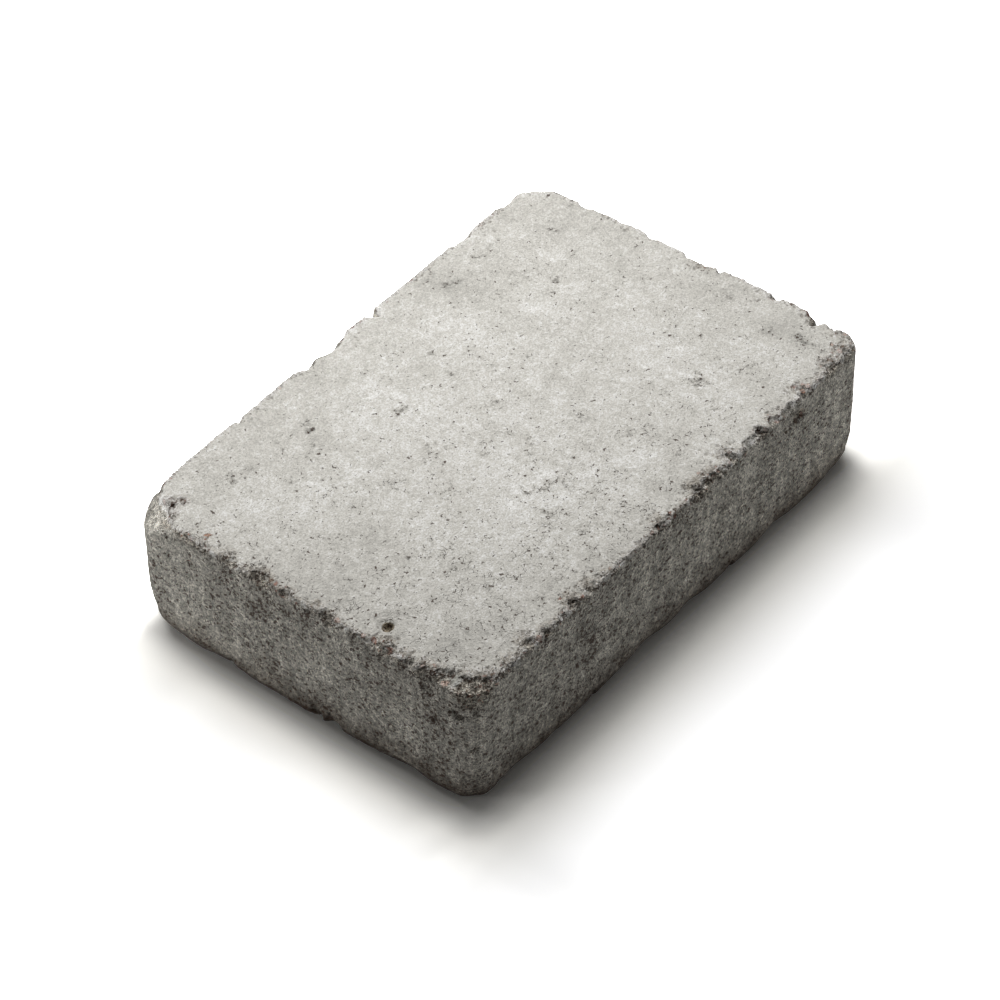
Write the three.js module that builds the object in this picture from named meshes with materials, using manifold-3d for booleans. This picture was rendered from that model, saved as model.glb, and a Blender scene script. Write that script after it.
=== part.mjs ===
import * as THREE from "three";
import { mergeVertices } from "three/addons/utils/BufferGeometryUtils.js";
import Module from "manifold-3d";

// A tumbled concrete paving stone, cast in one piece, in millimetres.
// It lies on its bed face at z = 0, with the wearing face up and level.
// X runs along the length and Y along the width, from the middle of the stone.

// overall size
const stoneLength = 210;
const stoneWidth = 140;
const stoneHeight = 52;

// upright arrises: the radius in plan that tumbling left on each
const frontUprightWear = 9; // between the front and left faces
const rightUprightWear = 9.4; // between the front and right faces
const backUprightWear = 11.5; // between the back and right faces
const leftUprightWear = 10.2; // between the back and left faces
const cornerReach = 12; // how far beside an upright arris the level arrises are worn more

// level arrises round the wearing face: the mean radius on each side
const frontTopWear = 1.2;
const rightTopWear = 1.4;
const backTopWear = 1;
const leftTopWear = 1.4;
const cornerTopWear = 2.4; // further wear at the corners
const leftCornerTopWear = 7; // and at the one between the back and left faces
const topWander = 0.6; // how far the radius strays from its mean
const topLumpLength = 9; // mean distance between two lumps of the arris

// level arrises round the bed face, worn further up the side faces than over the bed
const bedWear = 3.2;
const bedRise = 9;
const cornerBedWear = 3.4; // further wear at the corners
const rightCornerBedWear = 4.8; // and at the one between the front and right faces
const leftCornerBedWear = 6.2; // and at the one between the back and left faces
const bedWander = 0.7;
const bedLumpLength = 13;

// side faces: shallow hollows that the mould and the tumbling left
const faceHollow = 0.4;
const faceHollowLength = 34;

// how finely the worn block is drawn
const outlineStep = 4.6;
const uprightSteps = 6;
const topArrisSteps = 2;
const bedArrisSteps = 3;
const wallSteps = 3;
const fineBall = 9; // a chip or pebble larger than this is drawn more finely

// A chip is cut by an uneven ball whose middle stands off the arris, so its break is shallow.
const chipStandOff = 0.6; // share of the chip's own depths
const chipRoughness = 0.34; // share of the ball's own radius
const pebbleRoughness = 0.22;
const pebbleFlatness = 0.8; // height against width

// series of the repeatable chances
const topSeries = 1;
const bedSeries = 2;
const wallSeries = 20;

// Sides run round the stone, each from its start corner to its end corner.
const sides = {
  front: { length: stoneLength, out: [0, -1], along: [1, 0], reach: stoneWidth / 2 },
  right: { length: stoneWidth, out: [1, 0], along: [0, 1], reach: stoneLength / 2 },
  back: { length: stoneLength, out: [0, 1], along: [-1, 0], reach: stoneWidth / 2 },
  left: { length: stoneWidth, out: [-1, 0], along: [0, -1], reach: stoneLength / 2 },
};

// Chips broken from the arris of the wearing face. "at" is the distance of the chip's middle
// from the side's start corner, or back from its end corner where it is below zero.
// "long" runs along the arris, "into" is over the top and "down" is down the side.
const topChips = [
  { side: "front", at: 7, long: 6, into: 2.6, down: 3.2 },
  { side: "front", at: 18, long: 7, into: 2, down: 2 },
  { side: "front", at: 29.5, long: 7, into: 3.6, down: 2.2 },
  { side: "front", at: 37, long: 4, into: 2, down: 2.4 },
  { side: "front", at: 45.5, long: 3.4, into: 2.4, down: 2.8 },
  { side: "front", at: 51.5, long: 5.6, into: 3.4, down: 2.6 },
  { side: "front", at: 60, long: 5.6, into: 2.8, down: 2.2 },
  { side: "front", at: 95, long: 8, into: 2.4, down: 2 },
  { side: "front", at: 100, long: 4, into: 2.4, down: 2.2 },
  { side: "front", at: -93.5, long: 6.6, into: 3.6, down: 4.4 },
  { side: "front", at: -89, long: 5, into: 3.6, down: 2.6 },
  { side: "front", at: -85.2, long: 3.6, into: 2.8, down: 4.4 },
  { side: "front", at: -82, long: 3, into: 2.6, down: 2.6 },
  { side: "front", at: -75, long: 7.4, into: 4, down: 2.4 },
  { side: "front", at: -65, long: 10, into: 2.8, down: 4 },
  { side: "front", at: -59, long: 5.4, into: 4.2, down: 6 },
  { side: "front", at: -52.5, long: 5, into: 3, down: 2.8 },
  { side: "front", at: -44, long: 11, into: 2, down: 3.4 },
  { side: "front", at: -35, long: 7, into: 2.8, down: 3.8 },
  { side: "front", at: -19, long: 7, into: 3.4, down: 2.4 },
  { side: "front", at: -11, long: 6, into: 3.4, down: 3.2 },
  { side: "right", at: 11.5, long: 9, into: 4.8, down: 5 },
  { side: "right", at: 18.2, long: 11, into: 6.8, down: 7 },
  { side: "right", at: 36, long: 5.4, into: 3.8, down: 4 },
  { side: "right", at: 59.5, long: 4, into: 3.2, down: 3.6 },
  { side: "right", at: 67, long: 16, into: 3, down: 3.4 },
  { side: "right", at: 72, long: 5, into: 4, down: 3.6 },
  { side: "right", at: -52, long: 6, into: 2.8, down: 3.2 },
  { side: "right", at: -24, long: 13, into: 2.8, down: 3 },
  { side: "back", at: 17, long: 13, into: 3, down: 3.4 },
  { side: "back", at: 41, long: 17, into: 2.8, down: 3.2 },
  { side: "back", at: 90.5, long: 6.4, into: 5, down: 5.6 },
  { side: "back", at: -99, long: 22, into: 4, down: 4.4 },
  { side: "back", at: -87, long: 13, into: 3.4, down: 3.8 },
  { side: "back", at: -52.5, long: 4.6, into: 3.4, down: 3.8 },
  { side: "back", at: -11, long: 14, into: 3.2, down: 4 },
  { side: "left", at: 22, long: 8, into: 2.4, down: 2.4 },
  { side: "left", at: 31, long: 7, into: 2.8, down: 2.2 },
  { side: "left", at: 42, long: 10, into: 3.2, down: 2.4 },
  { side: "left", at: 54, long: 8.6, into: 3.2, down: 4 },
  { side: "left", at: 65, long: 5, into: 2.8, down: 2.8 },
  { side: "left", at: -59.5, long: 7.4, into: 3.6, down: 3.6 },
  { side: "left", at: -40.5, long: 4.4, into: 3.2, down: 3.4 },
  { side: "left", at: -34, long: 8.4, into: 3.4, down: 2.8 },
  { side: "left", at: -25.5, long: 4.4, into: 3, down: 3.4 },
  { side: "left", at: -20, long: 6, into: 4.2, down: 4 },
];

// Stretches where the bed arris is worn further, "more" being how far, over a "reach" to each side.
const bedWaves = [
  { side: "front", at: 23, reach: 9, more: 2.4 },
  { side: "front", at: 92, reach: 8, more: 2.8 },
  { side: "front", at: 114, reach: 6, more: 2.6 },
  { side: "front", at: 162, reach: 5, more: 1.4 },
  { side: "front", at: 182, reach: 14, more: -0.7 },
  { side: "right", at: 44, reach: 10, more: 1.8 },
  { side: "back", at: 58, reach: 8, more: 2 },
  { side: "back", at: 139, reach: 9, more: 2.4 },
  { side: "left", at: 24, reach: 9, more: 1.6 },
  { side: "left", at: 34, reach: 6, more: 2.2 },
  { side: "left", at: 112, reach: 6, more: 2.2 },
];

// Chips broken from the arris of the bed face, "up" being up the side.
const bedChips = [
  { side: "front", at: 14, long: 8, into: 5, up: 7 },
  { side: "front", at: 42, long: 7.4, into: 4.6, up: 5.8 },
  { side: "front", at: 62, long: 5.4, into: 4.8, up: 6 },
  { side: "front", at: -74, long: 6, into: 5, up: 6.4 },
  { side: "right", at: 3, long: 13, into: 8.4, up: 12 },
  { side: "right", at: 60, long: 13, into: 5, up: 7.4 },
  { side: "back", at: 50, long: 12, into: 5, up: 7.4 },
  { side: "back", at: -70, long: 15, into: 5.2, up: 8 },
  { side: "left", at: 38, long: 9, into: 4, up: 6 },
  { side: "left", at: -65.5, long: 9, into: 4.4, up: 10.4 },
  { side: "left", at: -59, long: 11, into: 4.2, up: 8.4 },
];

// Hollows in the side faces. "below" is the distance of the middle from the wearing face.
const sideHollows = [
  { side: "front", at: -44, below: 7, long: 17, high: 7, deep: 1 },
  { side: "front", at: -38.5, below: 8.8, long: 4.6, high: 3, deep: 2 },
  { side: "front", at: -36, below: 14, long: 4, high: 3.4, deep: 1.5 },
  { side: "front", at: 3.4, below: 7.6, long: 4, high: 9, deep: 3.4 },
  { side: "left", at: -17.7, below: 5, long: 7.6, high: 11, deep: 2.4 },
  { side: "left", at: -9, below: 11, long: 3.4, high: 3, deep: 2 },
  { side: "left", at: -6.4, below: 12.8, long: 4, high: 3.4, deep: 3.2 },
  { side: "left", at: -16, below: 19, long: 3.6, high: 2.6, deep: 1.6 },
  { side: "left", at: -29, below: 39, long: 3.2, high: 2.6, deep: 1.6 },
  { side: "left", at: 25, below: 11, long: 4, high: 3, deep: 1.2 },
  { side: "left", at: 2, below: 43, long: 7, high: 6, deep: 4.6 },
  { side: "right", at: 1, below: 47, long: 11.4, high: 18, deep: 7.8 },
];

// Hollows in the wearing face, placed inward from the left and front faces.
const topHollows = [
  { fromLeft: 8.8, fromFront: 40.4, long: 3.6, wide: 2.8, deep: 2.7 }, // where a pebble came out
  { fromLeft: 8, fromFront: 128, long: 5.6, wide: 4, deep: 1.7 },
  { fromLeft: 11.4, fromFront: 130, long: 2, wide: 1.6, deep: 1.1 },
];

// The wearing face has spalled off at the front corner, in a chain of hollows that leaves a step.
const spalls = [
  { fromLeft: 2.6, fromFront: 13, long: 8, wide: 8, deep: 2.8 },
  { fromLeft: 3.4, fromFront: 8, long: 8.6, wide: 8, deep: 3 },
  { fromLeft: 5, fromFront: 4, long: 8, wide: 7, deep: 2.9 },
  { fromLeft: 8, fromFront: 1.6, long: 7, wide: 4.6, deep: 2.6 },
];

// Pebbles laid bare where an arris is broken. "inward" and "below" place the middle.
const pebbles = [
  { side: "left", at: -10.5, inward: 4.4, below: 2.9, size: 5 },
  { side: "left", at: -13.4, inward: 2.2, below: 3.3, size: 3.6 },
  { side: "left", at: -5.2, inward: 6.4, below: 3, size: 4 },
  { side: "left", at: -2.6, inward: 8.4, below: 3, size: 3.2 },
  { side: "left", at: -8, inward: 2.6, below: 3.9, size: 4 },
  { side: "left", at: -29.5, inward: 1.8, below: 1.5, size: 2.4 },
  { side: "left", at: 30.5, inward: 4.6, below: 1.1, size: 2.4 },
  { side: "front", at: 33.4, inward: 1.8, below: 1.6, size: 3 },
  { side: "front", at: -76.6, inward: 1.9, below: 1.5, size: 2.8 },
  { side: "front", at: -34.8, inward: 2, below: 1.6, size: 2.8 },
  { side: "front", at: -32.4, inward: 2, below: 1.7, size: 3.2 },
  { side: "front", at: -11.4, inward: 3.2, below: 1.6, size: 3 },
  { side: "right", at: 22.4, inward: 3.2, below: 3.4, size: 4.4 },
];

// repeatable chance from 0 to 1 for a whole-numbered place in a series
function chance(place, series) {
  const spread = Math.sin(place * 127.1 + series * 311.7) * 43758.5453;
  return spread - Math.floor(spread);
}

// smooth wander from -1 to 1 that closes on itself; share goes from 0 to 1 round the stone
function wander(share, lumps, series) {
  const spot = share * lumps;
  const before = Math.floor(spot);
  const blend = THREE.MathUtils.smoothstep(spot - before, 0, 1);
  const here = chance(before % lumps, series);
  const next = chance((before + 1) % lumps, series);
  return 2 * THREE.MathUtils.lerp(here, next, blend) - 1;
}

const perimeter = 2 * (stoneLength + stoneWidth);
const lumpsOf = (spacing) => Math.max(3, Math.round(perimeter / spacing));

// inward hollow of the side faces at a share of the outline and of the height
function hollowAt(share, heightShare) {
  const bands = 2;
  const band = Math.min(Math.floor(heightShare * bands), bands - 1);
  const lumps = lumpsOf(faceHollowLength);
  const lower = wander(share, lumps, wallSeries + band);
  const upper = wander(share, lumps, wallSeries + band + 1);
  const mixed = THREE.MathUtils.lerp(lower, upper, heightShare * bands - band);
  return faceHollow * Math.max(0, mixed);
}

// Stations of the outline: along each side, then round the corner at its end.
const corners = [
  { wear: rightUprightWear, topWear: cornerTopWear, bedWear: rightCornerBedWear, x: 1, y: -1 },
  { wear: backUprightWear, topWear: cornerTopWear, bedWear: cornerBedWear, x: 1, y: 1 },
  { wear: leftUprightWear, topWear: leftCornerTopWear, bedWear: leftCornerBedWear, x: -1, y: 1 },
  { wear: frontUprightWear, topWear: cornerTopWear, bedWear: cornerBedWear, x: -1, y: -1 },
];
const topWears = [frontTopWear, rightTopWear, backTopWear, leftTopWear];

function outlineStations() {
  const stations = [];
  Object.values(sides).forEach((side, turn) => {
    const wallCount = Math.round(side.length / outlineStep);
    for (let step = 0; step < wallCount; step++) {
      stations.push({ side, turn, along: (step + 0.5) / wallCount, bend: null, topWear: topWears[turn] });
    }
    for (let step = 0; step < uprightSteps; step++) {
      const bend = (step + 0.5) / uprightSteps;
      const topWear = THREE.MathUtils.lerp(topWears[turn], topWears[(turn + 1) % 4], bend);
      stations.push({ side, turn, along: 1, bend, topWear });
    }
  });
  stations.forEach((station, index) => {
    station.share = index / stations.length;
  });
  return stations;
}

// distance of a station of a side face from that side's start corner
function runOf({ side, turn, along }) {
  const startWear = corners[(turn + 3) % 4].wear;
  return THREE.MathUtils.lerp(startWear, side.length - corners[turn].wear, along);
}

// the corner nearest to a station, and how much the station belongs to it:
// 1 in the corner's middle, 0 from cornerReach beside it
function nearestCorner(station) {
  const { turn, bend } = station;
  if (bend !== null) {
    return { corner: corners[turn], belongs: 1 - Math.abs(bend - 0.5) };
  }
  const run = runOf(station);
  const toStart = run - runOf({ ...station, along: 0 });
  const toEnd = runOf({ ...station, along: 1 }) - run;
  const corner = corners[toStart < toEnd ? (turn + 3) % 4 : turn];
  return { corner, belongs: 0.5 * Math.max(0, 1 - Math.min(toStart, toEnd) / cornerReach) };
}

// further wear of the bed arris where one of its waves reaches a station
function bedWaveAt(station) {
  if (station.bend !== null) {
    return 0;
  }
  const run = runOf(station);
  let total = 0;
  for (const { at, reach, more } of bedWaves.filter((wave) => sides[wave.side] === station.side)) {
    total += more * Math.exp(-(((run - at) / reach) ** 2));
  }
  return total;
}

// plan position of a station on the outline, drawn inward by an inset
function outlinePoint(station, inset) {
  const { side, turn, bend } = station;
  if (bend === null) {
    const run = runOf(station) - side.length / 2;
    const out = side.reach - inset;
    return [side.along[0] * run + side.out[0] * out, side.along[1] * run + side.out[1] * out];
  }
  const { wear, x, y } = corners[turn];
  const angle = (turn - 1 + bend) * Math.PI / 2;
  const radius = wear - inset;
  const middleX = x * (stoneLength / 2 - wear);
  const middleY = y * (stoneWidth / 2 - wear);
  return [middleX + radius * Math.cos(angle), middleY + radius * Math.sin(angle)];
}

// The worn block is a stack of rings from the bed face, up the walls, to the wearing face.
function wornBlock() {
  const stations = outlineStations();
  const levels = [];
  for (let step = 0; step <= bedArrisSteps; step++) {
    levels.push({ part: "bed", turn: step / bedArrisSteps });
  }
  for (let step = 1; step < wallSteps; step++) {
    levels.push({ part: "wall", share: step / wallSteps });
  }
  for (let step = topArrisSteps; step >= 0; step--) {
    levels.push({ part: "top", turn: step / topArrisSteps });
  }
  const places = [];
  for (const level of levels) {
    for (const station of stations) {
      const { corner, belongs } = nearestCorner(station);
      const topStray = topWander * wander(station.share, lumpsOf(topLumpLength), topSeries);
      const topRadius = station.topWear + topStray + corner.topWear * belongs;
      const bedStray = bedWander * wander(station.share, lumpsOf(bedLumpLength), bedSeries);
      const bedMore = bedStray + bedWaveAt(station) + corner.bedWear * belongs;
      let inset = 0;
      let height = THREE.MathUtils.lerp(bedRise + bedMore, stoneHeight - topRadius, level.share ?? 0);
      if (level.part !== "wall") {
        const angle = level.turn * Math.PI / 2;
        inset = (level.part === "bed" ? bedWear + bedMore : topRadius) * (1 - Math.sin(angle));
        const rise = (level.part === "bed" ? bedRise + bedMore : topRadius) * (1 - Math.cos(angle));
        height = level.part === "bed" ? rise : stoneHeight - rise;
      }
      const dip = hollowAt(station.share, height / stoneHeight);
      places.push(...outlinePoint(station, inset + dip), height);
    }
  }
  const count = stations.length;
  const faces = [];
  for (let ring = 0; ring < levels.length - 1; ring++) {
    for (let step = 0; step < count; step++) {
      const low = ring * count + step;
      const lowNext = ring * count + (step + 1) % count;
      faces.push(low, lowNext, lowNext + count, low, lowNext + count, low + count);
    }
  }
  const planOf = (ring) => stations.map((_, step) => {
    const first = 3 * (ring * count + step);
    return new THREE.Vector2(places[first], places[first + 1]);
  });
  const topStart = (levels.length - 1) * count;
  for (const [a, b, c] of THREE.ShapeUtils.triangulateShape(planOf(0), [])) {
    faces.push(a, c, b);
  }
  for (const [a, b, c] of THREE.ShapeUtils.triangulateShape(planOf(levels.length - 1), [])) {
    faces.push(topStart + a, topStart + b, topStart + c);
  }
  const block = new THREE.BufferGeometry();
  block.setAttribute("position", new THREE.Float32BufferAttribute(places, 3));
  block.setIndex(faces);
  return block;
}

// an uneven ball of the given three sizes, for cutting a chip or laying a pebble bare
function unevenBall(middle, sizes, roughness, series) {
  const ball = new THREE.IcosahedronGeometry(0.5, Math.max(...sizes) > fineBall ? 2 : 1);
  ball.deleteAttribute("normal");
  ball.deleteAttribute("uv");
  ball.rotateX(Math.PI * chance(1, series));
  ball.rotateZ(Math.PI * chance(2, series));
  const merged = mergeVertices(ball);
  const place = merged.getAttribute("position");
  for (let index = 0; index < place.count; index++) {
    const stretch = 1 + roughness * (chance(index, series) - 0.5);
    place.setXYZ(
      index,
      middle[0] + place.getX(index) * sizes[0] * stretch,
      middle[1] + place.getY(index) * sizes[1] * stretch,
      middle[2] + place.getZ(index) * sizes[2] * stretch,
    );
  }
  return merged;
}

// a ball placed by a side of the stone, with its middle inward of that side's face
function ballAtSide({ side, at, inward, height, long, thick, high, roughness }, series) {
  const { length, out, along, reach } = sides[side];
  const run = (at < 0 ? length + at : at) - length / 2;
  const depth = reach - inward;
  const middle = [along[0] * run + out[0] * depth, along[1] * run + out[1] * depth, height];
  const lengthwise = along[0] !== 0;
  const sizes = lengthwise ? [long, thick, high] : [thick, long, high];
  return unevenBall(middle, sizes, roughness, series);
}

function chipCutters() {
  const cutters = [];
  const add = (place) => {
    cutters.push(ballAtSide({ inward: 0, roughness: chipRoughness, ...place }, cutters.length));
  };
  // a ball that meets both faces of an arris where the chip ends, from a middle off the arris
  const spread = 2 * Math.hypot(1 + chipStandOff, chipStandOff);
  for (const { side, at, long, into, down } of topChips) {
    const height = stoneHeight + chipStandOff * down;
    add({ side, at, long, inward: -chipStandOff * into, height, thick: spread * into, high: spread * down });
  }
  for (const { side, at, long, into, up } of bedChips) {
    const height = -chipStandOff * up;
    add({ side, at, long, inward: -chipStandOff * into, height, thick: spread * into, high: spread * up });
  }
  for (const { side, at, below, long, high, deep } of sideHollows) {
    add({ side, at, long, height: stoneHeight - below, thick: 2 * deep, high });
  }
  for (const { fromLeft, fromFront, long, wide, deep } of [...topHollows, ...spalls]) {
    const place = { side: "left", at: -fromFront, inward: fromLeft, height: stoneHeight };
    add({ ...place, long: wide, thick: long, high: 2 * deep });
  }
  return cutters;
}

function barePebbles() {
  return pebbles.map(({ side, at, inward, below, size }, index) => {
    const height = stoneHeight - below;
    const place = { side, at, inward, height, long: size, thick: size, high: pebbleFlatness * size };
    return ballAtSide({ roughness: pebbleRoughness, ...place }, -1 - index);
  });
}

const wasm = await Module();
wasm.setup();

function solidOf(geometry) {
  const vertProperties = new Float32Array(geometry.getAttribute("position").array);
  const triVerts = new Uint32Array(geometry.getIndex().array);
  return new wasm.Manifold(new wasm.Mesh({ numProp: 3, vertProperties, triVerts }));
}

function pavingStoneGeometry() {
  let stone = solidOf(wornBlock());
  for (const cutter of chipCutters()) {
    stone = stone.subtract(solidOf(cutter));
  }
  for (const pebble of barePebbles()) {
    stone = stone.add(solidOf(pebble));
  }
  const mesh = stone.getMesh();
  const geometry = new THREE.BufferGeometry();
  geometry.setAttribute("position", new THREE.BufferAttribute(mesh.vertProperties, 3));
  geometry.setIndex(new THREE.BufferAttribute(mesh.triVerts, 1));
  geometry.computeVertexNormals();
  return geometry;
}

const concrete = new THREE.MeshStandardMaterial({ color: 0xc4c2ba, roughness: 0.95, metalness: 0 });
const pavingStone = new THREE.Mesh(pavingStoneGeometry(), concrete);
pavingStone.name = "paving_stone";

const product = new THREE.Group();
product.add(pavingStone);

export default product;
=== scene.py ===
import math

import bmesh
import bpy
import numpy as np
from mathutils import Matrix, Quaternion, Vector
from mathutils.kdtree import KDTree


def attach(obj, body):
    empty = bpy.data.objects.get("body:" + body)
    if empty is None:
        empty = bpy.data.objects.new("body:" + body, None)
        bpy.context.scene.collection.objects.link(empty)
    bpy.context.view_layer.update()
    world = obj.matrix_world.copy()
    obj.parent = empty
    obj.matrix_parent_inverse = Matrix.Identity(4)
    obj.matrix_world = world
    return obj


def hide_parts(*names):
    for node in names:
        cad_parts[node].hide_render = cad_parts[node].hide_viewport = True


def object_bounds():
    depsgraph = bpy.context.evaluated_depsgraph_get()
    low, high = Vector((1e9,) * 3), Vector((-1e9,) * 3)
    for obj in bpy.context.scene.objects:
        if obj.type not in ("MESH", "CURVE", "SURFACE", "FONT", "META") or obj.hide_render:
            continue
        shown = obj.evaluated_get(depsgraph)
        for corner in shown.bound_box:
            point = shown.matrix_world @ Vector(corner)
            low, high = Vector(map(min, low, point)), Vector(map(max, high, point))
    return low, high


mmPerMetre = 1000

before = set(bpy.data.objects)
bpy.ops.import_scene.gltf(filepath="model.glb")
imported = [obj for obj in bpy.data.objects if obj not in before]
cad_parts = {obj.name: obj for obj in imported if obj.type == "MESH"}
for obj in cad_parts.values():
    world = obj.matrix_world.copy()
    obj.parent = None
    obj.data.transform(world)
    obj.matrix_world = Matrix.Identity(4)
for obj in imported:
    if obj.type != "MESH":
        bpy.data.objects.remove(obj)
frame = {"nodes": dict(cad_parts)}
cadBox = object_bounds()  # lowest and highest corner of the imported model, in metres
print("frame loaded:", ", ".join(frame["nodes"]))


def linearColour(hexColour):
    # sRGB hex to the linear values that Blender's sockets take
    def toLinear(value):
        return value / 12.92 if value <= 0.04045 else ((value + 0.055) / 1.055) ** 2.4

    parts = [int(hexColour[start:start + 2], 16) / 255 for start in (1, 3, 5)]
    return tuple(toLinear(part) for part in parts) + (1.0,)


def addNode(tree, kind, settings=None, inputs=None, output=0):
    # settings are the node's own properties; an input takes a value or another node's socket;
    # in a Mix node 2 and 3 are the numbers to mix, and 6 and 7 the colours
    node = tree.nodes.new(kind)
    for name, value in (settings or {}).items():
        setattr(node, name, value)
    for name, value in (inputs or {}).items():
        if isinstance(value, bpy.types.NodeSocket):
            tree.links.new(value, node.inputs[name])
        else:
            node.inputs[name].default_value = value
    return node.outputs[output] if len(node.outputs) else node


camera = {
    "lens": 140.65,  # mm
    "sensor": 36,  # mm wide
    "clipStart": 0.05,  # metres
    "azimuth": -51.165,  # degrees; 0 looks along +Y
    "elevation": 43.28,
    "roll": -0.929,
    "place": (-0.73262, -0.58679, 0.89993),  # metres
}


def makeCamera():
    data = bpy.data.cameras.new("viewCamera")
    data.lens = camera["lens"]
    data.sensor_width = camera["sensor"]
    data.clip_start = camera["clipStart"]
    viewer = bpy.data.objects.new("viewCamera", data)
    bpy.context.scene.collection.objects.link(viewer)
    azimuth, elevation = math.radians(camera["azimuth"]), math.radians(camera["elevation"])
    back = Vector((
        math.sin(azimuth) * math.cos(elevation),
        -math.cos(azimuth) * math.cos(elevation),
        math.sin(elevation),
    ))
    viewer.location = camera["place"]
    viewer.rotation_mode = "QUATERNION"
    roll = Quaternion((0, 0, 1), math.radians(camera["roll"]))
    viewer.rotation_quaternion = (-back).to_track_quat("-Z", "Y") @ roll
    bpy.context.scene.camera = viewer
    print("camera made")


studio = {
    "lamps": [
        {  # softbox above, behind and to the right of the stone, with a grid on its front
            "name": "softbox", "place": (0.127, 0.201, 0.495), "aim": (0.050, 0.045, 0.026),
            "size": (0.62, 0.5), "spread": 113, "power": 1.45,
        },
        {  # white board that lifts the left end, most at its far corner
            "name": "leftBoard", "place": (-0.55, 0.42, 0.14), "aim": (-0.12, 0.17, 0.02),
            "size": (0.25, 0.25), "spread": 34, "power": 0.085,
        },
        {  # white board that lifts the right of the long side
            "name": "rightBoard", "place": (0.45, -0.32, 0.05), "aim": (0.13, -0.07, 0.03),
            "size": (0.2, 0.08), "spread": 40, "power": 0.018,
        },
    ],
    "worldStrength": 0.09,
    "floorSize": 6.0,  # metres
    # whiteness of the floor to the camera, which paints its shadow: at the stone, in its shadow and
    # beyond, and the distances from the stone, in metres, over which these go over into each other
    "floorSeen": (1.05, 1.85, 4.0),
    "floorReach": (0.0, 0.011, 0.033, 0.12),
    # parts of the floor that are painted whiter or duller, which shapes its shadow: the measure, and for
    # each border of the part the direction across it, in X and Y, and where the change begins and is
    # complete, in metres
    "floorParts": [
        {"measure": 0.85, "borders": [((1, 0), 0.058, 0.09), ((0, -1), 0.07, 0.081)]},
        {"measure": 1.18, "borders": [((-1, 0), 0.11, 0.125), ((0, -1), -0.02, 0.03)]},
        {"measure": 1.12, "borders": [
            ((-1, 0), -0.01, 0.05), ((0, -1), 0.076, 0.088), ((1, 0), -0.112, -0.095),
        ]},
        # right of the stone and behind it no shadow falls, and the floor is painted whiter there
        {"measure": 2.4, "borders": [((1, -0.25), 0.114, 0.1235), ((0, 1), -0.084, -0.062)]},
        {"measure": 3.0, "borders": [((0, 1), 0.063, 0.078)]},
        # close to the left end the shadow is painted deeper
        {"measure": 0.8, "borders": [
            ((1, 0), -0.113, -0.106), ((0, 1), -0.076, -0.06), ((0, -1), -0.055, -0.03),
        ]},
        {"measure": 1.08, "borders": [
            ((-1, 0), 0.08, 0.095), ((0, -1), 0.068, 0.074), ((0, 1), -0.088, -0.08),
        ]},
        # at the near corner it is painted less deep, and further out its rim is painted softer
        {"measure": 1.25, "borders": [
            ((-1, 0), 0.085, 0.104), ((0, -1), 0.053, 0.07), ((0.62, 0.78), -0.131, -0.117),
        ]},
        {"measure": 0.91, "borders": [((-1, 0), 0.112, 0.12), ((0, -1), 0.07, 0.08)]},
        {"measure": 0.89, "borders": [
            ((-1, 0), 0.11, 0.116), ((0, 1), 0.03, 0.045), ((0, -1), -0.078, -0.066),
        ]},
    ],
    "floorTint": (1.01, 1.0, 0.96, 1),  # linear, of the floor to the camera in the shadow, a tint painted into it
    "floorOther": "#ececea",  # floor as it throws light back on the stone
}


def hangLamps():
    for lamp in studio["lamps"]:
        light = bpy.data.lights.new(lamp["name"], "AREA")
        light.shape = "RECTANGLE"
        light.size, light.size_y = lamp["size"]
        light.energy = lamp["power"]
        light.spread = math.radians(lamp["spread"])
        hung = bpy.data.objects.new(lamp["name"], light)
        hung.location = lamp["place"]
        hung.rotation_mode = "QUATERNION"
        hung.rotation_quaternion = (Vector(lamp["aim"]) - hung.location).to_track_quat("-Z", "Y")
        bpy.context.scene.collection.objects.link(hung)


def makeRoom():
    # plain white to the camera and in reflections, and dim as a light
    world = bpy.data.worlds.new("whiteRoom")
    bpy.context.scene.world = world
    world.use_nodes = True
    tree = world.node_tree
    tree.nodes.clear()
    byCamera = addNode(tree, "ShaderNodeLightPath", output="Is Camera Ray")
    mirrored = addNode(tree, "ShaderNodeLightPath", output="Is Glossy Ray")
    seen = addNode(tree, "ShaderNodeMath", {"operation": "MAXIMUM"}, {0: byCamera, 1: mirrored})
    strength = addNode(tree, "ShaderNodeMapRange", None,
                       {"Value": seen, "To Min": studio["worldStrength"], "To Max": 1.0})
    background = addNode(tree, "ShaderNodeBackground", None,
                         {"Color": (1, 1, 1, 1), "Strength": strength})
    addNode(tree, "ShaderNodeOutputWorld", None, {"Surface": background})


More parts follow.
